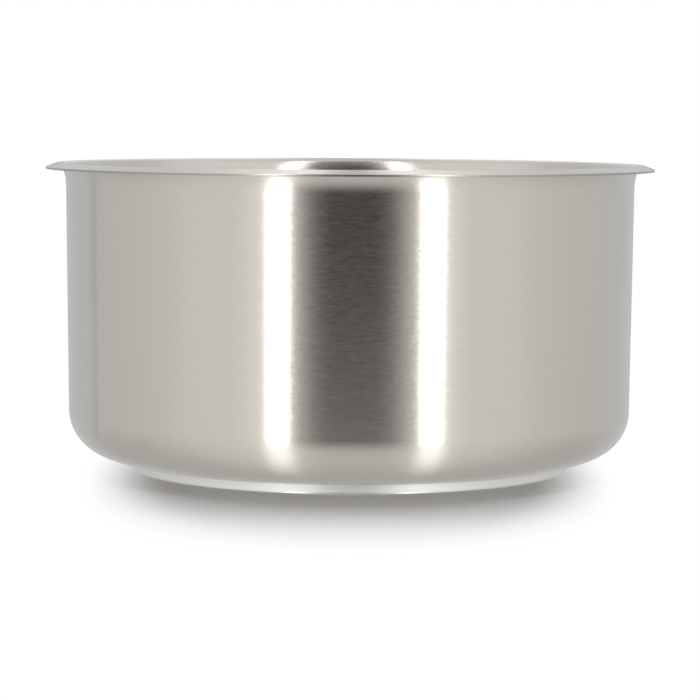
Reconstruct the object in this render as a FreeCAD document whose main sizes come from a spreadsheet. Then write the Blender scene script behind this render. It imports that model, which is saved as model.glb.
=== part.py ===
import FreeCAD, Part
import math
import os
import Sketcher
from FreeCAD import Vector

# A round cooking pot without handles: one drawn steel sheet with a turned-over lip, on a base
# of an aluminium disc closed by a thin magnetic steel plate. Its axis is Z and it stands on Z = 0.

# Driving dimensions, in millimetres and degrees
driving_sizes = [
    ("wall_diameter", 240.0, "outside of the wall where the flare starts"),
    ("overall_height", 128.6, "table to the crest of the lip"),
    ("sheet", 0.95, "thickness of the drawn sheet"),
    ("wall_draft", 0.6, "outward lean of the wall"),
    ("corner_radius", 19.3, "outside bend between the wall and the foot"),
    ("foot_radius", 35.0, "wider outside bend that runs into the flat underside"),
    ("foot_sweep", 24.4, "turn of that wider bend"),
    ("flare_radius", 17.4, "outside bend that opens the wall to the lip"),
    ("flare_sweep", 23.8, "turn of the flare"),
    ("lip_radius", 2.1, "bend under the turned-over lip"),
    ("lip_droop", 20.0, "fall of the lip below level"),
    ("lip_reach", 3.9, "straight part of the lip"),
    ("base_margin", 0.2, "flat underside left round the base discs"),
    ("core_thickness", 3.5, "aluminium disc that spreads the heat"),
    ("plate_thickness", 0.5, "magnetic steel plate under it"),
    ("plate_edge", 0.25, "radius on the lower edge of that plate"),
]

# Points of a sketch element and the sketch's own axes, as sketches number them
start_point, end_point, centre_point = range(1, 4)
level_axis, upright_axis = range(-1, -3, -1)


def make_sheet(doc):
    sheet = doc.addObject("Spreadsheet::Sheet", "sizes")
    for row, (name, value, meaning) in enumerate(driving_sizes, start=1):
        sheet.set(f"A{row}", meaning)
        sheet.set(f"B{row}", str(value))
        sheet.setAlias(f"B{row}", name)
    doc.recompute()
    return sheet


def make_body(doc, label):
    body = doc.addObject("PartDesign::Body", label)
    body.Label = label
    return body


def make_sketch(body, name, plane_role):
    sketch = body.newObject("Sketcher::SketchObject", name)
    plane = next(item for item in body.Origin.OriginFeatures if item.Role == plane_role)
    sketch.AttachmentSupport = [(plane, "")]
    sketch.MapMode = "FlatFace"
    return sketch


def constrain(sketch, *constraint):
    return sketch.addConstraint(Sketcher.Constraint(*constraint))


# A named constraint that follows the sizes
def bind(sketch, name, expression, *constraint):
    index = constrain(sketch, *constraint)
    sketch.renameConstraint(index, name)
    sketch.setExpression(f"Constraints.{name}", expression)


def direction(heading):
    return Vector(math.cos(math.radians(heading)), math.sin(math.radians(heading)), 0)


# One run of a profile from a point in a heading: straight where turn is 0, and otherwise a bend
# to the left (turn above 0) or to the right. Gives the curve, its far end and the heading there.
def draw_run(point, heading, size, turn):
    if turn == 0:
        far_end = point + direction(heading) * size
        return Part.LineSegment(point, far_end), far_end, heading
    side = math.copysign(90, turn)
    centre = point + direction(heading + side) * size
    middle = centre - direction(heading + turn / 2 + side) * size
    far_end = centre - direction(heading + turn + side) * size
    return Part.Arc(point, middle, far_end), far_end, heading + turn


# Height and width of a bend between two headings
def bend_rise(radius, heading, next_heading):
    return radius * abs(math.cos(math.radians(next_heading)) - math.cos(math.radians(heading)))


def bend_reach(radius, heading, next_heading):
    return radius * abs(math.sin(math.radians(next_heading)) - math.sin(math.radians(heading)))


# The sheet's outside face, from the axis out along the flat, up the wall and over the lip
def outside_runs(sizes):
    wall_heading = 90 - sizes.wall_draft
    lip_heading = wall_heading - sizes.flare_sweep
    below_wall = (
        sizes.plate_thickness
        + sizes.core_thickness
        + bend_rise(sizes.foot_radius, 0, sizes.foot_sweep)
        + bend_rise(sizes.corner_radius, sizes.foot_sweep, wall_heading)
    )
    above_wall = (
        bend_rise(sizes.flare_radius, wall_heading, lip_heading)
        + bend_rise(sizes.lip_radius, lip_heading, 0)
        + sizes.sheet
    )
    wall_length = (sizes.overall_height - below_wall - above_wall) / direction(wall_heading).y
    flat_radius = (
        sizes.wall_diameter / 2
        - wall_length * direction(wall_heading).x
        - bend_reach(sizes.corner_radius, sizes.foot_sweep, wall_heading)
        - bend_reach(sizes.foot_radius, 0, sizes.foot_sweep)
    )
    return [
        (flat_radius, 0),
        (sizes.foot_radius, sizes.foot_sweep),
        (sizes.corner_radius, wall_heading - sizes.foot_sweep),
        (wall_length, 0),
        (sizes.flare_radius, -sizes.flare_sweep),
        (sizes.lip_radius, -lip_heading - sizes.lip_droop),
        (sizes.lip_reach, 0),
    ]


# A run of the inside face, walked back: a bend that closed in on the pot is a sheet tighter
# there, and one that opened out is a sheet wider
def inside_run(size, turn, thickness):
    if turn == 0:
        return size, turn
    return size - math.copysign(thickness, turn), -turn


def make_shell(doc, sizes):
    body = make_body(doc, "pot_shell")
    sketch = make_sketch(body, "shell_profile", "XZ_Plane")
    outside = outside_runs(sizes)
    rounded_edge = (sizes.sheet / 2, 180)
    inside = [inside_run(size, turn, sizes.sheet) for size, turn in reversed(outside)]
    runs = outside + [rounded_edge] + inside
    flat, foot, corner, wall, flare, lip, edge = range(len(outside))
    floor = len(runs) - 1

    # Sketched arcs run to the left, so one that is walked to the right is met at its end
    axis_foot = Vector(0, 0, 0)
    point = axis_foot
    heading = 0
    near_ends = []
    far_ends = []
    for size, turn in runs:
        curve, point, heading = draw_run(point, heading, size, turn)
        sketch.addGeometry(curve)
        near_ends.append(end_point if turn < 0 else start_point)
        far_ends.append(start_point if turn < 0 else end_point)
    centre_line = sketch.addGeometry(Part.LineSegment(point, axis_foot))

    # One smooth line from the axis round the lip and back to the axis
    for run in range(floor):
        constrain(sketch, "Tangent", run, far_ends[run], run + 1, near_ends[run + 1])
    constrain(sketch, "Coincident", floor, end_point, centre_line, start_point)
    constrain(sketch, "Coincident", centre_line, end_point, flat, start_point)
    constrain(sketch, "Coincident", flat, start_point, level_axis, start_point)
    constrain(sketch, "PointOnObject", floor, end_point, upright_axis)
    constrain(sketch, "Horizontal", flat)
    constrain(sketch, "Horizontal", floor)

    # The inside face follows the outside one at the sheet's thickness
    for bend in (foot, corner, flare, lip):
        constrain(sketch, "Coincident", bend, centre_point, floor - bend, centre_point)
    for straight in (wall, edge):
        constrain(sketch, "Parallel", straight, floor - straight)
    bind(sketch, "sheet", "sizes.sheet", "Distance", centre_line, sizes.sheet)

    for name, bend in (("foot", foot), ("corner", corner), ("flare", flare), ("lip", lip)):
        bind(sketch, f"{name}_radius", f"sizes.{name}_radius", "Radius", bend, runs[bend][0])
    for name, bend in (("foot", foot), ("flare", flare)):
        sweep = math.radians(abs(runs[bend][1]))
        bind(sketch, f"{name}_sweep", f"sizes.{name}_sweep", "Angle", bend, sweep)
    wall_lean = math.radians(90 - sizes.wall_draft)
    bind(sketch, "wall_lean", "90 - sizes.wall_draft", "Angle", wall, wall_lean)
    lip_fall = math.radians(-sizes.lip_droop)
    bind(sketch, "lip_fall", "-sizes.lip_droop", "Angle", edge, lip_fall)
    bind(sketch, "lip_reach", "sizes.lip_reach", "Distance", edge, sizes.lip_reach)
    wall_radius = ("DistanceX", level_axis, start_point, wall, end_point, sizes.wall_diameter / 2)
    bind(sketch, "wall_radius", "sizes.wall_diameter / 2", *wall_radius)
    lip_height = sketch.getPoint(lip, centre_point).y
    above_base = "sizes.overall_height - sizes.plate_thickness - sizes.core_thickness"
    lip_place = ("DistanceY", level_axis, start_point, lip, centre_point, lip_height)
    bind(sketch, "lip_height", f"{above_base} - sizes.sheet - sizes.lip_radius", *lip_place)

    # The flat's radius follows from the rest, and the base discs read it
    flat_radius = constrain(sketch, "Distance", flat, runs[flat][0])
    sketch.setDriving(flat_radius, False)
    sketch.renameConstraint(flat_radius, "flat_radius")

    revolution = body.newObject("PartDesign::Revolution", "shell_revolution")
    revolution.Profile = sketch
    revolution.ReferenceAxis = (sketch, ["V_Axis"])
    revolution.Angle = 360
    body.setExpression("Placement.Base.z", "sizes.plate_thickness + sizes.core_thickness")
    doc.recompute()
    return body


# A disc under the flat of the shell, narrower than it by the margin all round
def make_disc(doc, label, thickness):
    body = make_body(doc, label)
    sketch = make_sketch(body, f"{label}_outline", "XY_Plane")
    first_radius = doc.shell_profile.getDatum("flat_radius").Value
    circle = sketch.addGeometry(Part.Circle(Vector(0, 0, 0), Vector(0, 0, 1), first_radius))
    constrain(sketch, "Coincident", circle, centre_point, level_axis, start_point)
    inside_flat = "shell_profile.Constraints.flat_radius - sizes.base_margin * 1 mm"
    bind(sketch, "disc_radius", inside_flat, "Radius", circle, first_radius)
    pad = body.newObject("PartDesign::Pad", f"{label}_pad")
    pad.Profile = sketch
    pad.setExpression("Length", thickness)
    doc.recompute()
    return body


def make_heat_spreader(doc):
    body = make_disc(doc, "heat_spreader", "sizes.core_thickness")
    body.setExpression("Placement.Base.z", "sizes.plate_thickness")
    return body


def make_induction_plate(doc):
    body = make_disc(doc, "induction_plate", "sizes.plate_thickness")
    pad = body.Tip
    lowest = pad.Shape.BoundBox.ZMin
    lower_edges = [
        f"Edge{number}"
        for number, edge in enumerate(pad.Shape.Edges, start=1)
        if edge.Closed and math.isclose(edge.CenterOfMass.z, lowest, abs_tol=pad.Length.Value / 10)
    ]
    rounding = body.newObject("PartDesign::Fillet", "induction_plate_rounding")
    rounding.Base = (pad, lower_edges)
    rounding.setExpression("Radius", "sizes.plate_edge")
    return body


def check(doc, bodies):
    for item in doc.Objects:
        if "Invalid" in item.State or "Error" in item.State:
            raise RuntimeError(f"{item.Label} did not recompute")
    for body in bodies:
        if body.Shape.isNull() or not body.Shape.isValid():
            raise RuntimeError(f"{body.Label} has no valid shape")


doc = FreeCAD.newDocument("pot")
sizes = make_sheet(doc)
bodies = [make_shell(doc, sizes), make_heat_spreader(doc), make_induction_plate(doc)]
doc.recompute()
check(doc, bodies)
os.makedirs("parts", exist_ok=True)
for body in bodies:
    body.Shape.exportStep(f"parts/{body.Label}.step")
    box = body.Shape.optimalBoundingBox()
    volume = body.Shape.Volume
    print(f"{body.Label}: {box.XLength:.2f} mm across, z {box.ZMin:.2f} to {box.ZMax:.2f}, {volume:.0f} mm3")
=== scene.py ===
import math

import bmesh
import bpy
from mathutils import Matrix, Vector


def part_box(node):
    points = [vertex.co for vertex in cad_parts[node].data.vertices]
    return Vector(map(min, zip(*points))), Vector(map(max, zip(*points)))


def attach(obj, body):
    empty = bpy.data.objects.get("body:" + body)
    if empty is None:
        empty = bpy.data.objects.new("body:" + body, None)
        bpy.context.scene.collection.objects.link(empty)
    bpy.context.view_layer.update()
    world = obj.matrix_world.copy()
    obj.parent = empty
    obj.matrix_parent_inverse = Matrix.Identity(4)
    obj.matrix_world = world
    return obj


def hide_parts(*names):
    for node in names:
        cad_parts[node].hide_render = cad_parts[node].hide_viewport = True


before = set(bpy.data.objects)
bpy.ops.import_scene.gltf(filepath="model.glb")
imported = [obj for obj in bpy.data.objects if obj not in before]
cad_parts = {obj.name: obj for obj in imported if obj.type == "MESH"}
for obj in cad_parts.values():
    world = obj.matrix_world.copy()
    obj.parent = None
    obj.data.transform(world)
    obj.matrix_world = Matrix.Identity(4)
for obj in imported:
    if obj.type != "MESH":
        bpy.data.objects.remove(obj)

scene = bpy.context.scene
scene.view_settings.view_transform = "Standard"
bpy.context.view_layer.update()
mm = 0.001
print("frame loaded:", ", ".join(sorted(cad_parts)))


# Node tree helpers

def setInputs(tree, node, values):
    for socket, value in values.items():
        if isinstance(value, bpy.types.NodeSocket):
            tree.links.new(value, node.inputs[socket])
        else:
            node.inputs[socket].default_value = value


def addNode(tree, kind, values=None, **settings):
    node = tree.nodes.new(kind)
    for name, value in settings.items():
        setattr(node, name, value)
    setInputs(tree, node, values or {})
    return node


def maths(tree, operation, first, second=0.0):
    return addNode(tree, "ShaderNodeMath", {0: first, 1: second}, operation=operation).outputs[0]


def vectorMaths(tree, operation, first, second=(0.0, 0.0, 0.0)):
    return addNode(tree, "ShaderNodeVectorMath", {0: first, 1: second}, operation=operation)


def wholeNumber(tree, operation, first, second):
    return addNode(tree, "FunctionNodeIntegerMath", {0: first, 1: second}, operation=operation).outputs[0]


def fade(tree, value, start, end):
    return addNode(
        tree, "ShaderNodeMapRange", {0: value, 1: start, 2: end}, interpolation_type="SMOOTHSTEP"
    ).outputs[0]


def blend(tree, share, first, second):
    return addNode(tree, "ShaderNodeMix", {0: share, 6: first, 7: second}, data_type="RGBA").outputs[2]


def objectPlace(tree):
    return addNode(tree, "ShaderNodeTexCoord").outputs["Object"]


def split(tree, vector):
    return addNode(tree, "ShaderNodeSeparateXYZ", {0: vector}).outputs


def newGroup(name, kind, inputs, outputs):
    tree = bpy.data.node_groups.new(name, kind)
    for label, socketType in inputs:
        tree.interface.new_socket(label, in_out="INPUT", socket_type=socketType)
    for label, socketType in outputs:
        tree.interface.new_socket(label, in_out="OUTPUT", socket_type=socketType)
    return tree, tree.nodes.new("NodeGroupInput").outputs, tree.nodes.new("NodeGroupOutput").inputs


# Spinning: every piece of the pot is a line drawn in the XZ plane and turned about Z
spinning = {
    "seamGap": 0.001 * mm,  # within which the seam and the poles close
    "sharpAngle": 35.0,  # degrees past which two faces meet in a hard edge
}


def buildSpinTree(sizes):
    tree, given, result = newGroup(
        "spunPiece",
        "GeometryNodeTree",
        [
            ("Line", "NodeSocketGeometry"),
            ("Steps round", "NodeSocketInt"),
            ("Points in line", "NodeSocketInt"),
            ("Edge row", "NodeSocketInt"),
            ("Inside row", "NodeSocketInt"),
            ("Line length", "NodeSocketFloat"),
            ("Map radius", "NodeSocketFloat"),
            ("Outside", "NodeSocketMaterial"),
            ("Edge", "NodeSocketMaterial"),
            ("Inside", "NodeSocketMaterial"),
        ],
        [("Piece", "NodeSocketGeometry")],
    )
    columns = wholeNumber(tree, "ADD", given["Steps round"], 1)
    grid = addNode(
        tree, "GeometryNodeMeshGrid", {"Vertices X": columns, "Vertices Y": given["Points in line"]}
    ).outputs["Mesh"]
    index = addNode(tree, "GeometryNodeInputIndex").outputs[0]
    row = wholeNumber(tree, "MODULO", index, given["Points in line"])
    column = wholeNumber(tree, "DIVIDE_FLOOR", index, given["Points in line"])
    turn = maths(tree, "MULTIPLY", maths(tree, "DIVIDE", column, given["Steps round"]), math.tau)

    def fromLine(value, dataType):
        return addNode(
            tree, "GeometryNodeSampleIndex",
            {"Geometry": given["Line"], "Value": value, "Index": row}, data_type=dataType,
        ).outputs[0]

    def named(name, dataType):
        return addNode(
            tree, "GeometryNodeInputNamedAttribute", {"Name": name}, data_type=dataType
        ).outputs[0]

    def store(geometry, name, value, dataType, domain):
        return addNode(
            tree, "GeometryNodeStoreNamedAttribute",
            {"Geometry": geometry, "Name": name, "Value": value}, data_type=dataType, domain=domain,
        ).outputs[0]

    def storeMap(geometry, name, across, along):
        place = addNode(tree, "ShaderNodeCombineXYZ", {"X": across, "Y": along}).outputs[0]
        atPoints = addNode(
            tree, "GeometryNodeFieldOnDomain", {0: place}, data_type="FLOAT_VECTOR", domain="POINT"
        ).outputs[0]
        return store(geometry, name, atPoints, "FLOAT2", "CORNER")

    # Each grid point goes to its point of the line, turned to its place round the axis
    position = addNode(tree, "GeometryNodeInputPosition").outputs[0]
    linePoint = fromLine(position, "FLOAT_VECTOR")
    spunPoint = addNode(
        tree, "ShaderNodeVectorRotate", {"Vector": linePoint, "Angle": turn}, rotation_type="Z_AXIS"
    ).outputs[0]
    piece = addNode(
        tree, "GeometryNodeSetPosition", {"Geometry": grid, "Position": spunPoint}
    ).outputs[0]

    # The brush map runs round the pot in U and along the sheet in V, both in metres. The bake map has
    # the same layout and fills the unit square.
    run = fromLine(named("lineRun", "FLOAT"), "FLOAT")
    around = maths(tree, "MULTIPLY", turn, given["Map radius"])
    piece = storeMap(piece, "brushMap", around, run)
    shareRound = maths(tree, "DIVIDE", turn, math.tau)
    piece = storeMap(piece, "OFBake", shareRound, maths(tree, "DIVIDE", run, given["Line length"]))

    # Along the line, the outside gives way to the cut edge and that to the inside
    faceRows = wholeNumber(tree, "SUBTRACT", given["Points in line"], 1)
    faceRow = wholeNumber(tree, "MODULO", index, faceRows)
    for part in ("Edge", "Inside"):
        past = addNode(
            tree, "FunctionNodeCompare", {2: faceRow, 3: given[part + " row"]},
            data_type="INT", operation="GREATER_EQUAL",
        ).outputs[0]
        piece = store(piece, "past" + part, past, "BOOLEAN", "FACE")

    # The seam and the poles close
    piece = addNode(
        tree, "GeometryNodeMergeByDistance", {"Geometry": piece, "Distance": sizes["seamGap"]}
    ).outputs[0]
    piece = addNode(tree, "GeometryNodeRealizeInstances", {"Geometry": piece}).outputs[0]
    piece = addNode(
        tree, "GeometryNodeSetMaterial", {"Geometry": piece, "Material": given["Outside"]}
    ).outputs[0]
    for part in ("Edge", "Inside"):
        past = named("past" + part, "BOOLEAN")
        piece = addNode(
            tree, "GeometryNodeSetMaterial", {"Geometry": piece, "Selection": past, "Material": given[part]}
        ).outputs[0]
    tree.links.new(piece, result["Piece"])
    return tree


def heading(degrees):
    return Vector((math.cos(math.radians(degrees)), 0.0, math.sin(math.radians(degrees))))


# Walks a line from a point: a run is (size, turn, steps), straight where turn is 0, and otherwise a
# bend of that radius to the left (turn above 0) or to the right
def drawLine(start, degrees, runs):
    points = [Vector(start)]
    for size, turn, steps in runs:
        point = points[-1]
        if turn == 0:
            points += [point + heading(degrees) * size * (step + 1) / steps for step in range(steps)]
            continue
        side = math.copysign(90, turn)
        centre = point + heading(degrees + side) * size
        for step in range(steps):
            points.append(centre - heading(degrees + turn * (step + 1) / steps + side) * size)
        degrees += turn
    return points


# The finishes are those of the outside, the cut edge and the inside, and the rows are where the last
# two start. A disc has one finish all over.
def spin(name, node, points, stepsRound, mapRadius, finishes, edgeRow=0, insideRow=0):
    line = bpy.data.meshes.new(name + "Line")
    line.from_pydata(points, [(i, i + 1) for i in range(len(points) - 1)], [])
    runs = [0.0]
    for first, second in zip(points, points[1:]):
        runs.append(runs[-1] + (second - first).length)
    line.attributes.new("lineRun", "FLOAT", "POINT").data.foreach_set("value", runs)
    piece = bpy.data.objects.new(name, line)
    scene.collection.objects.link(piece)
    modifier = piece.modifiers.new("spin", "NODES")
    modifier.node_group = spinTree
    settings = {
        "Steps round": stepsRound,
        "Points in line": len(points),
        "Edge row": edgeRow,
        "Inside row": insideRow,
        "Line length": runs[-1],
        "Map radius": mapRadius,
        "Outside": finishes[0],
        "Edge": finishes[1],
        "Inside": finishes[2],
    }
    for item in spinTree.interface.items_tree:
        if item.in_out == "INPUT" and item.name in settings:
            modifier[item.identifier] = settings[item.name]
    piece.update_tag()
    spun = bpy.data.meshes.new_from_object(piece.evaluated_get(bpy.context.evaluated_depsgraph_get()))
    piece.modifiers.clear()
    piece.data = spun
    spun.name = name
    spun.polygons.foreach_set("use_smooth", [True] * len(spun.polygons))
    spun.set_sharp_from_angle(angle=math.radians(spinning["sharpAngle"]))
    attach(piece, "root")
    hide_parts(node)
    print(f"{name}: {len(spun.polygons)} faces from {len(points)} points")


# Finishes: fine brush lines with wider ones among them
brushNoise = {
    "fine": {"Scale": 1.0, "Detail": 2.0, "Roughness": 0.6},
    "wide": {"Scale": 0.28, "Detail": 2.0, "Roughness": 0.5},
    "fineShare": 0.82,
    "wideShare": 0.18,
    "toneRange": (0.35, 0.65),  # tones that span a finish's roughness
    "glossTurn": 0.25,  # a quarter turn, so that highlights spread across the lines
}


def buildBrushGroup(noise):
    tree, given, result = newGroup(
        "brushLines",
        "ShaderNodeTree",
        [("Lines per mm", "NodeSocketFloat"), ("Streak mm", "NodeSocketFloat")],
        [("Height", "NodeSocketFloat"), ("Tone", "NodeSocketFloat")],
    )
    place = split(tree, objectPlace(tree))
    sheetMap = addNode(tree, "ShaderNodeUVMap", uv_map="brushMap").outputs[0]
    run = split(tree, sheetMap)["Y"]
    perMetre = maths(tree, "DIVIDE", 1.0 / mm, given["Streak mm"])
    alongX = maths(tree, "MULTIPLY", place["X"], perMetre)
    alongY = maths(tree, "MULTIPLY", place["Y"], perMetre)
    across = maths(tree, "MULTIPLY", run, maths(tree, "MULTIPLY", given["Lines per mm"], 1.0 / mm))
    brush = addNode(tree, "ShaderNodeCombineXYZ", {"X": alongX, "Y": alongY, "Z": across}).outputs[0]
    fine = addNode(tree, "ShaderNodeTexNoise", {"Vector": brush, **noise["fine"]}).outputs[0]
    wide = addNode(tree, "ShaderNodeTexNoise", {"Vector": brush, **noise["wide"]}).outputs[0]
    fineTone = maths(tree, "MULTIPLY", fine, noise["fineShare"])
    wideTone = maths(tree, "MULTIPLY", wide, noise["wideShare"])
    tree.links.new(fine, result["Height"])
    tree.links.new(maths(tree, "ADD", fineTone, wideTone), result["Tone"])
    return tree


def brushedMetal(name, look):
    material = bpy.data.materials.new(name)
    material.use_nodes = True
    tree = material.node_tree
    lines = addNode(
        tree, "ShaderNodeGroup", {"Lines per mm": look["linesPerMm"], "Streak mm": look["streakMm"]},
        node_tree=brushLines,
    ).outputs
    colour = blend(tree, lines["Tone"], (*look["dark"], 1.0), (*look["light"], 1.0))
    lowTone, highTone = brushNoise["toneRange"]
    smooth, rough = look["roughness"]
    roughness = addNode(
        tree, "ShaderNodeMapRange", {0: lines["Tone"], 1: lowTone, 2: highTone, 3: smooth, 4: rough}
    ).outputs[0]
    bump = addNode(
        tree, "ShaderNodeBump",
        {"Strength": look["bump"], "Distance": look["depthMm"] * mm, "Height": lines["Height"]},
    ).outputs[0]
    tangent = addNode(tree, "ShaderNodeTangent", direction_type="UV_MAP", uv_map="brushMap").outputs[0]
    surface = {
        "Base Color": colour,
        "Roughness": roughness,
        "Normal": bump,
        "Tangent": tangent,
        "Metallic": 1.0,
        "Anisotropic": look["anisotropy"],
        "Anisotropic Rotation": brushNoise["glossTurn"],
    }
    setInputs(tree, tree.nodes["Principled BSDF"], surface)
    return material


spinTree = buildSpinTree(spinning)
brushLines = buildBrushGroup(brushNoise)


# Pot shell: one drawn sheet, from the axis out under the flat, up the wall, over the lip and back
# inside. Sweeps, draft and droop are in degrees.
potSheet = {
    "wallRadius": 120.0 * mm,  # outside, where the flare starts
    "sheet": 0.95 * mm,
    "wallDraft": 0.6,
    "cornerRadius": 19.3 * mm,
    "footRadius": 35.0 * mm,
    "footSweep": 24.4,
    "flareRadius": 17.4 * mm,
    "flareSweep": 23.8,
    "lipRadius": 2.1 * mm,
    "lipDroop": 20.0,
    "lipReach": 3.9 * mm,
    "edgeRounds": (0.2 * mm, 0.25 * mm),  # under and over the cut edge, which stands upright
    "stepsRound": 288,
    "degreesPerStep": 3.0,
    "flatSteps": 8,
    "wallSteps": 10,
    "lipSteps": 3,
    "edgeSteps": (8, 2, 6),  # under, up and over the cut edge
    "outside": {
        "dark": (0.53, 0.500, 0.455),
        "light": (0.59, 0.557, 0.507),
        "roughness": (0.189, 0.229),
        "anisotropy": 0.911,
        "linesPerMm": 1.6,
        "streakMm": 2.8,
        "bump": 1.0,
        "depthMm": 0.018,
    },
    # The cut edge: rougher than the faces, with its colour darker than theirs as painted shade, for the
    # dark line under the lip
    "edge": {
        "dark": (0.33, 0.315, 0.29),
        "light": (0.43, 0.41, 0.38),
        "roughness": (0.30, 0.42),
        "anisotropy": 0.6,
        "linesPerMm": 3.0,
        "streakMm": 2.0,
        "bump": 0.6,
        "depthMm": 0.02,
    },
    # The inside: its colour a little lighter than the outside's, painted light that brightens the inside's
    # reflections
    "inside": {
        "dark": (0.60, 0.575, 0.535),
        "light": (0.62, 0.595, 0.555),
        "roughness": (0.215, 0.27),
        "anisotropy": 0.72,
        "linesPerMm": 1.3,
        "streakMm": 4.5,
        "bump": 1.0,
        "depthMm": 0.03,
    },
}


def makeShell(sizes):
    lowest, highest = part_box("pot_shell")
    sheet = sizes["sheet"]
    wallHeading = 90 - sizes["wallDraft"]
    lipHeading = wallHeading - sizes["flareSweep"]

    def rise(radius, first, second):
        return radius * abs(math.cos(math.radians(first)) - math.cos(math.radians(second)))

    def reach(radius, first, second):
        return radius * abs(math.sin(math.radians(first)) - math.sin(math.radians(second)))

    def bend(radius, turn):
        return radius, turn, math.ceil(abs(turn) / sizes["degreesPerStep"])

    # The wall is as long, and the flat as wide, as the bends leave room for
    bends = (
        rise(sizes["footRadius"], 0, sizes["footSweep"])
        + rise(sizes["cornerRadius"], sizes["footSweep"], wallHeading)
        + rise(sizes["flareRadius"], wallHeading, lipHeading)
        + rise(sizes["lipRadius"], lipHeading, 0)
    )
    wallRise = highest.z - lowest.z - sheet - bends
    wallLength = wallRise / math.sin(math.radians(wallHeading))
    flatRadius = (
        sizes["wallRadius"]
        - wallRise * math.tan(math.radians(sizes["wallDraft"]))
        - reach(sizes["cornerRadius"], sizes["footSweep"], wallHeading)
        - reach(sizes["footRadius"], 0, sizes["footSweep"])
    )

    # The lip's two faces reach the upright cut, less the room for its rounded corners
    droop = math.radians(sizes["lipDroop"])
    under, over = sizes["edgeRounds"]
    underRound = under * math.tan((math.pi / 2 + droop) / 2)
    overRound = over * math.tan((math.pi / 2 - droop) / 2)
    lipUnder = sizes["lipReach"] + sheet / 2 * (1 + math.sin(droop)) / math.cos(droop)
    lipOver = lipUnder - sheet * math.tan(droop)
    cut = sheet / math.cos(droop) - underRound - overRound
    underSteps, cutSteps, overSteps = sizes["edgeSteps"]

    wayOut = [
        (flatRadius, 0, sizes["flatSteps"]),
        bend(sizes["footRadius"], sizes["footSweep"]),
        bend(sizes["cornerRadius"], wallHeading - sizes["footSweep"]),
        (wallLength, 0, sizes["wallSteps"]),
        bend(sizes["flareRadius"], -sizes["flareSweep"]),
        bend(sizes["lipRadius"], -lipHeading - sizes["lipDroop"]),
        (lipUnder - underRound, 0, sizes["lipSteps"]),
    ]
    edge = [
        (under, 90 + sizes["lipDroop"], underSteps),
        (cut, 0, cutSteps),
    ]
    overEdge = [
        (over, 90 - sizes["lipDroop"], overSteps),
        (lipOver - overRound, 0, sizes["lipSteps"]),
    ]
    wayBack = [
        (size - math.copysign(sheet, turn) if turn else size, -turn, steps)
        for size, turn, steps in reversed(wayOut[:-1])
    ]
    points = drawLine((0.0, 0.0, lowest.z), 0, wayOut + edge + overEdge + wayBack)
    edgeRow = sum(steps for size, turn, steps in wayOut)
    insideRow = edgeRow + sum(steps for size, turn, steps in edge)
    finishes = [
        brushedMetal("brushedSteelOutside", sizes["outside"]),
        brushedMetal("cutEdgePaintedShade", sizes["edge"]),
        brushedMetal("brushedSteelInside", sizes["inside"]),
    ]
    spin(
        "potShell", "pot_shell", points, sizes["stepsRound"], sizes["wallRadius"],
        finishes, edgeRow, insideRow,
    )


makeShell(potSheet)


# Heat spreader: the aluminium disc whose turned edge shows as the pale band at the foot
spreaderDisc = {
    "lowerRound": 0.06 * mm,
    "upperRound": 0.06 * mm,
    "stepsRound": 288,
    "faceSteps": 6,
    "roundSteps": 6,
    "edgeSteps": 2,
    "finish": {
        "dark": (0.70, 0.70, 0.68),
        "light": (0.84, 0.84, 0.82),
        "roughness": (0.48, 0.58),
        "anisotropy": 0.45,
        "linesPerMm": 2.2,
        "streakMm": 8.0,
        "bump": 0.8,
        "depthMm": 0.04,
    },
}


# A disc in the place of its CAD node: under it, up its edge and back to the axis
def makeDisc(name, node, finishName, sizes):
    lowest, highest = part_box(node)
    radius = highest.x
    lower, upper = sizes["lowerRound"], sizes["upperRound"]
    runs = [
        (radius - lower, 0, sizes["faceSteps"]),
        (lower, 90, sizes["roundSteps"]),
        (highest.z - lowest.z - lower - upper, 0, sizes["edgeSteps"]),
        (upper, 90, sizes["roundSteps"]),
        (radius - upper, 0, sizes["faceSteps"]),
    ]
    points = drawLine((0.0, 0.0, lowest.z), 0, runs)
    metal = brushedMetal(finishName, sizes["finish"])
    spin(name, node, points, sizes["stepsRound"], radius, [metal] * 3)


makeDisc("heatSpreader", "heat_spreader", "turnedAluminium", spreaderDisc)


# Induction plate: the thin magnetic disc that closes the base, turned in rings underneath
plateDisc = {
    "lowerRound": 0.25 * mm,
    "upperRound": 0.03 * mm,
    "stepsRound": 288,
    "faceSteps": 6,
    "roundSteps": 6,
    "edgeSteps": 2,
    "finish": {
        "dark": (0.60, 0.59, 0.57),
        "light": (0.86, 0.85, 0.83),
        "roughness": (0.28, 0.42),
        "anisotropy": 0.85,
        "linesPerMm": 0.8,
        "streakMm": 60.0,
        "bump": 0.8,
        "depthMm": 0.04,
    },
}

makeDisc("inductionPlate", "induction_plate", "turnedPlateSteel", plateDisc)


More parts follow.
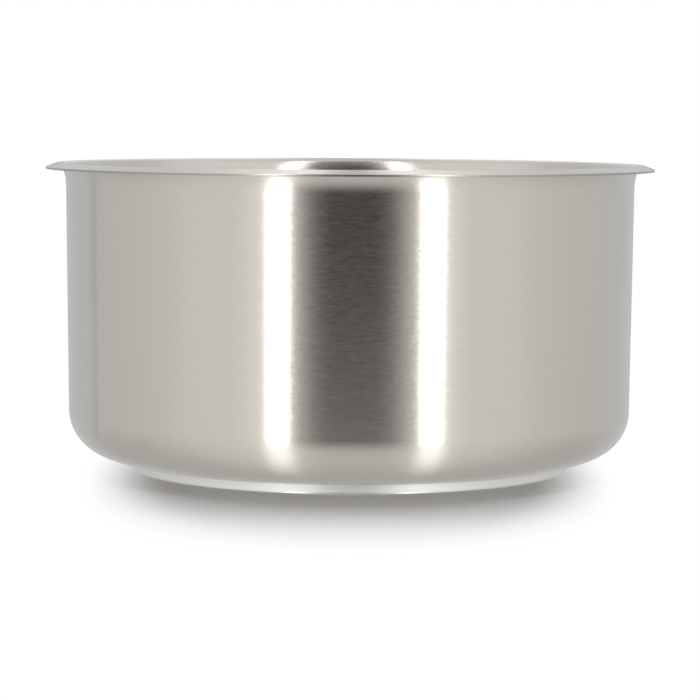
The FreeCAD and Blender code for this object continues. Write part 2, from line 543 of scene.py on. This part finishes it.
# Studio, with places and lengths in metres
studio = {
    "floorColour": (0.96, 0.96, 0.96),
    "floorSize": 16.0,
    "floorDrop": 0.2 * mm,  # keeps the floor clear of the plate's underside
    "shadowStraight": 0.02,  # before and behind, past which the shadow's sides round off
    "shadowReach": (0.094, 0.225),  # to the sides, and past that before and behind
    "shadowFade": (1.19, 0.79),  # shares of that reach
    "skyLight": 0.3,
    "topStrength": 2.5,
    "topAngle": 48.0,  # degrees across, which softens the shadow
    "topFromBehind": 20.0,
    "topDistance": 2.0,
    "strips": {"leftStrip": -25.3, "rightStrip": 29.4},  # degrees round from the front
    "stripDistance": 0.6,
    "stripWidth": 0.077,
    "stripFoot": -0.12,
    "stripTop": 1.4,
    "stripPower": 1.5,
    "domeCentre": 0.064,
    "domeRadius": 3.0,
    "domeSteps": (96, 48),
    "bounce": 0.71,  # share of the dome that the pot throws on the floor
    # Grey levels by degrees to each side of a middle, counted on the wall that shows them
    "cardsMiddle": 0.7,
    "cards": [
        (0.0, 0.0), (4.7, 0.0), (7.5, 0.13), (9.7, 0.42), (11.5, 0.64), (14.0, 1.0), (19.2, 1.16),
        (23.0, 0.99), (33.0, 0.99), (38.0, 0.905), (50.0, 0.84), (62.0, 0.775), (70.0, 0.715),
        (77.0, 0.65), (90.0, 0.5),
    ],
    "upperCards": [(0.0, 0.06), (7.0, 0.08), (18.0, 1.0)],
    "floorMiddle": 1.3,
    "floorCards": [
        (0.0, 0.80), (5.0, 0.80), (10.8, 0.92), (13.4, 1.95), (15.9, 1.95), (18.8, 1.0), (31.0, 0.99),
        (56.0, 0.91), (66.0, 0.71), (78.0, 0.45),
    ],
    "backCards": [
        (0.0, 0.48), (4.5, 0.58), (7.5, 1.1), (10.3, 1.9), (13.0, 1.9), (16.0, 1.55), (20.0, 1.28),
        (28.0, 1.12), (36.0, 0.94), (46.0, 0.78),
    ],
    "backFloor": 0.64,
    "backCardsFrom": (-0.15, 0.15),  # shares of the way back, from -1 in front to 1 behind
    "backFloorFrom": (-0.8, 0.55),
    "floorRise": (-2.0, -36.0),  # degrees of elevation where the cards give way to the floor
    "upperRise": (8.0, 26.0),  # where they give way to the upper ones
    "topRise": (33.0, 80.0),  # where those give way to the ceiling
    "topLevel": 0.84,
    "coolSides": (48.0, 72.0),
    "coolTint": (0.975, 1.01, 1.055),
    "post": (-61.2, 1.5, 0.63),  # a thin darker line in the left card: degrees, half width, level
    "nearFloorStart": (0.16, 0.26),  # from the axis, where the floor close to the pot shows
    "nearFloorEnd": (0.62, 0.40),
    "nearFloorAside": (26.0, 16.0),  # degrees to each side
    "nearFloorLevel": 0.85,
    "nearFloorShare": 0.19,
}
white = (1.0, 1.0, 1.0, 1.0)
rampSpan = 90.0  # degrees from a ramp's start to its end


def grey(level):
    return (level, level, level, 1.0)


def newStageMaterial(name):
    material = bpy.data.materials.new(name)
    material.use_nodes = True
    material.node_tree.nodes.clear()
    return material, material.node_tree


def addStage(name, mesh, material):
    mesh.materials.append(material)
    thing = bpy.data.objects.new(name, mesh)
    scene.collection.objects.link(thing)
    return thing


# A level sheet from one corner to the other
def levelSheet(name, left, front, right, back):
    mesh = bpy.data.meshes.new(name)
    corners = [(left, front, 0), (right, front, 0), (right, back, 0), (left, back, 0)]
    mesh.from_pydata(corners, [], [(0, 1, 2, 3)])
    return mesh


def onlyReflected(thing):
    for kind in ("camera", "diffuse", "transmission", "volume_scatter", "shadow"):
        setattr(thing, "visible_" + kind, False)


def seenDirectly(tree):
    path = addNode(tree, "ShaderNodeLightPath").outputs
    reflected = maths(tree, "MAXIMUM", path["Is Glossy Ray"], path["Is Transmission Ray"])
    return maths(tree, "MAXIMUM", path["Is Camera Ray"], reflected)


# Pale floor that keeps the shadow before, behind and round the foot of the pot, clear from below. Outside
# that patch it shows plain white to the camera, a painted light that wipes out the rest of the shadow
def makeFloor(sizes):
    material, tree = newStageMaterial("paleFloor")
    place = split(tree, objectPlace(tree))
    sideReach, endReach = sizes["shadowReach"]
    aside = maths(tree, "DIVIDE", place["X"], sideReach)
    ahead = maths(tree, "SUBTRACT", maths(tree, "ABSOLUTE", place["Y"]), sizes["shadowStraight"])
    ahead = maths(tree, "DIVIDE", maths(tree, "MAXIMUM", ahead, 0.0), endReach)
    away = addNode(tree, "ShaderNodeCombineXYZ", {"X": aside, "Y": ahead}).outputs[0]
    away = vectorMaths(tree, "LENGTH", away).outputs["Value"]
    clear = maths(tree, "SUBTRACT", 1.0, fade(tree, away, *sizes["shadowFade"]))
    lit = addNode(tree, "ShaderNodeBsdfDiffuse", {"Color": (*sizes["floorColour"], 1.0)}).outputs[0]
    # Painted light: plain white glow that covers the shadow outside the kept patch
    paintedWhite = addNode(tree, "ShaderNodeEmission", {"Color": white}).outputs[0]
    share = maths(tree, "MULTIPLY", clear, seenDirectly(tree))
    fromAbove = addNode(tree, "ShaderNodeMixShader", {0: share, 1: lit, 2: paintedWhite}).outputs[0]
    fromBelow = addNode(tree, "ShaderNodeBsdfTransparent").outputs[0]
    below = addNode(tree, "ShaderNodeNewGeometry").outputs["Backfacing"]
    mixed = addNode(tree, "ShaderNodeMixShader", {0: below, 1: fromAbove, 2: fromBelow}).outputs[0]
    addNode(tree, "ShaderNodeOutputMaterial", {"Surface": mixed})
    half = sizes["floorSize"] / 2
    floor = addStage("floor", levelSheet("floor", -half, -half, half, half), material)
    floor.location.z = -sizes["floorDrop"]
    floor.visible_glossy = False  # the dome has the floor that reflections see
    floor.visible_shadow = False


def rampRound(tree, aside, stops):
    ramp = addNode(tree, "ShaderNodeValToRGB", {0: maths(tree, "DIVIDE", aside, rampSpan)})
    elements = ramp.color_ramp.elements
    while len(elements) < len(stops):
        elements.new(0.5)
    for element, (degrees, level) in zip(elements, stops):
        element.position = degrees / rampSpan
        element.color = grey(level)
    return ramp.outputs[0]


# Cards and floor as reflections see them: dark towards the camera, pale at the sides, grey behind
def makeDome(sizes):
    material, tree = newStageMaterial("domeCards")
    material.cycles.emission_sampling = "NONE"
    centre = (0.0, 0.0, sizes["domeCentre"])
    fromCentre = vectorMaths(tree, "SUBTRACT", objectPlace(tree), centre).outputs[0]
    place = split(tree, vectorMaths(tree, "NORMALIZE", fromCentre).outputs[0])
    turned = maths(tree, "ARCTAN2", place["X"], maths(tree, "SUBTRACT", 1.0, place["Y"]))
    turned = maths(tree, "DEGREES", turned)
    rise = maths(tree, "DEGREES", maths(tree, "ARCSINE", place["Z"]))

    def degreesFrom(middle):
        return maths(tree, "ABSOLUTE", maths(tree, "SUBTRACT", turned, middle))

    aside = degreesFrom(sizes["cardsMiddle"])
    cards = rampRound(tree, aside, sizes["cards"])
    postPlace, postHalf, postLevel = sizes["post"]
    inPost = fade(tree, degreesFrom(postPlace), postHalf, postHalf / 2)
    cards = blend(tree, inPost, cards, grey(postLevel))

    upper = rampRound(tree, aside, sizes["upperCards"])
    back = rampRound(tree, aside, sizes["backCards"])
    upper = blend(tree, fade(tree, place["Y"], *sizes["backCardsFrom"]), upper, back)
    upper = blend(tree, fade(tree, rise, *sizes["topRise"]), upper, grey(sizes["topLevel"]))

    floor = rampRound(tree, degreesFrom(sizes["floorMiddle"]), sizes["floorCards"])
    floor = blend(tree, fade(tree, place["Y"], *sizes["backFloorFrom"]), floor, grey(sizes["backFloor"]))

    colour = blend(tree, fade(tree, rise, *sizes["upperRise"]), cards, upper)
    tint = blend(tree, fade(tree, aside, *sizes["coolSides"]), white, (*sizes["coolTint"], 1.0))
    colour = vectorMaths(tree, "MULTIPLY", colour, tint).outputs[0]
    colour = blend(tree, fade(tree, rise, *sizes["floorRise"]), colour, floor)
    fromFloor = addNode(tree, "ShaderNodeLightPath").outputs["Diffuse Depth"]
    strength = addNode(tree, "ShaderNodeMapRange", {0: fromFloor, 3: 1.0, 4: sizes["bounce"]}).outputs[0]
    glow = addNode(tree, "ShaderNodeEmission", {"Color": colour, "Strength": strength}).outputs[0]
    addNode(tree, "ShaderNodeOutputMaterial", {"Surface": glow})

    ball = bmesh.new()
    around, upward = sizes["domeSteps"]
    bmesh.ops.create_uvsphere(
        ball, u_segments=around, v_segments=upward, radius=sizes["domeRadius"],
        matrix=Matrix.Translation(centre),
    )
    mesh = bpy.data.meshes.new("reflectionDome")
    ball.to_mesh(mesh)
    ball.free()
    onlyReflected(addStage("reflectionDome", mesh, material))


# The floor close before the pot, of which the wall shows more towards its foot
def makeNearFloor(sizes):
    material, tree = newStageMaterial("nearFloor")
    material.cycles.emission_sampling = "NONE"
    where = objectPlace(tree)
    place = split(tree, where)
    away = vectorMaths(tree, "LENGTH", where).outputs["Value"]
    turned = maths(tree, "ARCTAN2", place["X"], maths(tree, "MULTIPLY", place["Y"], -1.0))
    aside = maths(tree, "ABSOLUTE", maths(tree, "DEGREES", turned))
    share = maths(
        tree, "MULTIPLY",
        fade(tree, away, *sizes["nearFloorStart"]), fade(tree, away, *sizes["nearFloorEnd"]),
    )
    share = maths(tree, "MULTIPLY", share, fade(tree, aside, *sizes["nearFloorAside"]))
    share = maths(tree, "MULTIPLY", share, sizes["nearFloorShare"])
    glow = addNode(tree, "ShaderNodeEmission", {"Color": grey(sizes["nearFloorLevel"])}).outputs[0]
    clear = addNode(tree, "ShaderNodeBsdfTransparent").outputs[0]
    mixed = addNode(tree, "ShaderNodeMixShader", {0: share, 1: clear, 2: glow}).outputs[0]
    addNode(tree, "ShaderNodeOutputMaterial", {"Surface": mixed})
    half = max(sizes["nearFloorEnd"])
    floor = addStage("nearFloor", levelSheet("nearFloor", -half, -half, half, 0), material)
    floor.location.z = -sizes["floorDrop"] / 2
    onlyReflected(floor)


# White to the camera and in reflections, softer as light
def makeWorld(sizes):
    world = bpy.data.worlds.new("studio")
    scene.world = world
    world.use_nodes = True
    tree = world.node_tree
    tree.nodes.clear()
    skyLight = sizes["skyLight"]
    light = addNode(tree, "ShaderNodeBackground", {"Color": white, "Strength": skyLight}).outputs[0]
    backdrop = addNode(tree, "ShaderNodeBackground", {"Color": white, "Strength": 1.0}).outputs[0]
    mixed = addNode(
        tree, "ShaderNodeMixShader", {0: seenDirectly(tree), 1: light, 2: backdrop}
    ).outputs[0]
    addNode(tree, "ShaderNodeOutputWorld", {"Surface": mixed})


def addLamp(name, kind, place, target, power):
    light = bpy.data.lights.new(name, kind)
    light.energy = power
    lamp = bpy.data.objects.new(name, light)
    lamp.location = place
    lamp.rotation_euler = (Vector(target) - Vector(place)).to_track_quat("-Z", "Y").to_euler()
    lamp.visible_camera = False
    scene.collection.objects.link(lamp)
    return lamp


def makeLamps(sizes):
    # The soft light from above that casts the shadow
    tilt = math.radians(sizes["topFromBehind"])
    distance = sizes["topDistance"]
    overhead = (0, distance * math.sin(tilt), distance * math.cos(tilt))
    top = addLamp("topLight", "SUN", overhead, (0, 0, 0), sizes["topStrength"])
    top.data.angle = math.radians(sizes["topAngle"])
    top.visible_glossy = False

    # The strips each side of the camera that show as the two highlights
    distance = sizes["stripDistance"]
    middle = (sizes["stripFoot"] + sizes["stripTop"]) / 2
    for name, degrees in sizes["strips"].items():
        turn = math.radians(degrees)
        place = (math.sin(turn) * distance, -math.cos(turn) * distance, middle)
        strip = addLamp(name, "AREA", place, (0, 0, middle), sizes["stripPower"])
        strip.data.shape = "RECTANGLE"
        strip.data.size = sizes["stripWidth"]
        strip.data.size_y = sizes["stripTop"] - sizes["stripFoot"]
        strip.visible_diffuse = False


makeFloor(studio)
makeDome(studio)
makeNearFloor(studio)
makeWorld(studio)
makeLamps(studio)
print("studio set")


# Camera, with its turns in degrees and its lens and sensor in millimetres
view = {
    "place": (0.0, -1186.5 * mm, 152.4 * mm),
    "tiltDown": 4.972,
    "roll": 0.334,
    "yaw": -0.014,
    "lens": 143.6,
    "sensor": 36.0,
    "clip": (0.01, 100.0),
}


def makeCamera(sizes):
    camera = bpy.data.objects.new("camera", bpy.data.cameras.new("camera"))
    camera.data.sensor_width = sizes["sensor"]
    camera.data.lens = sizes["lens"]
    camera.data.clip_start, camera.data.clip_end = sizes["clip"]
    turn = (
        Matrix.Rotation(math.radians(sizes["yaw"]), 4, "Z")
        @ Matrix.Rotation(math.radians(90 - sizes["tiltDown"]), 4, "X")
        @ Matrix.Rotation(math.radians(sizes["roll"]), 4, "Z")
    )
    camera.matrix_world = Matrix.Translation(sizes["place"]) @ turn
    scene.collection.objects.link(camera)
    scene.camera = camera


makeCamera(view)
print("camera set")
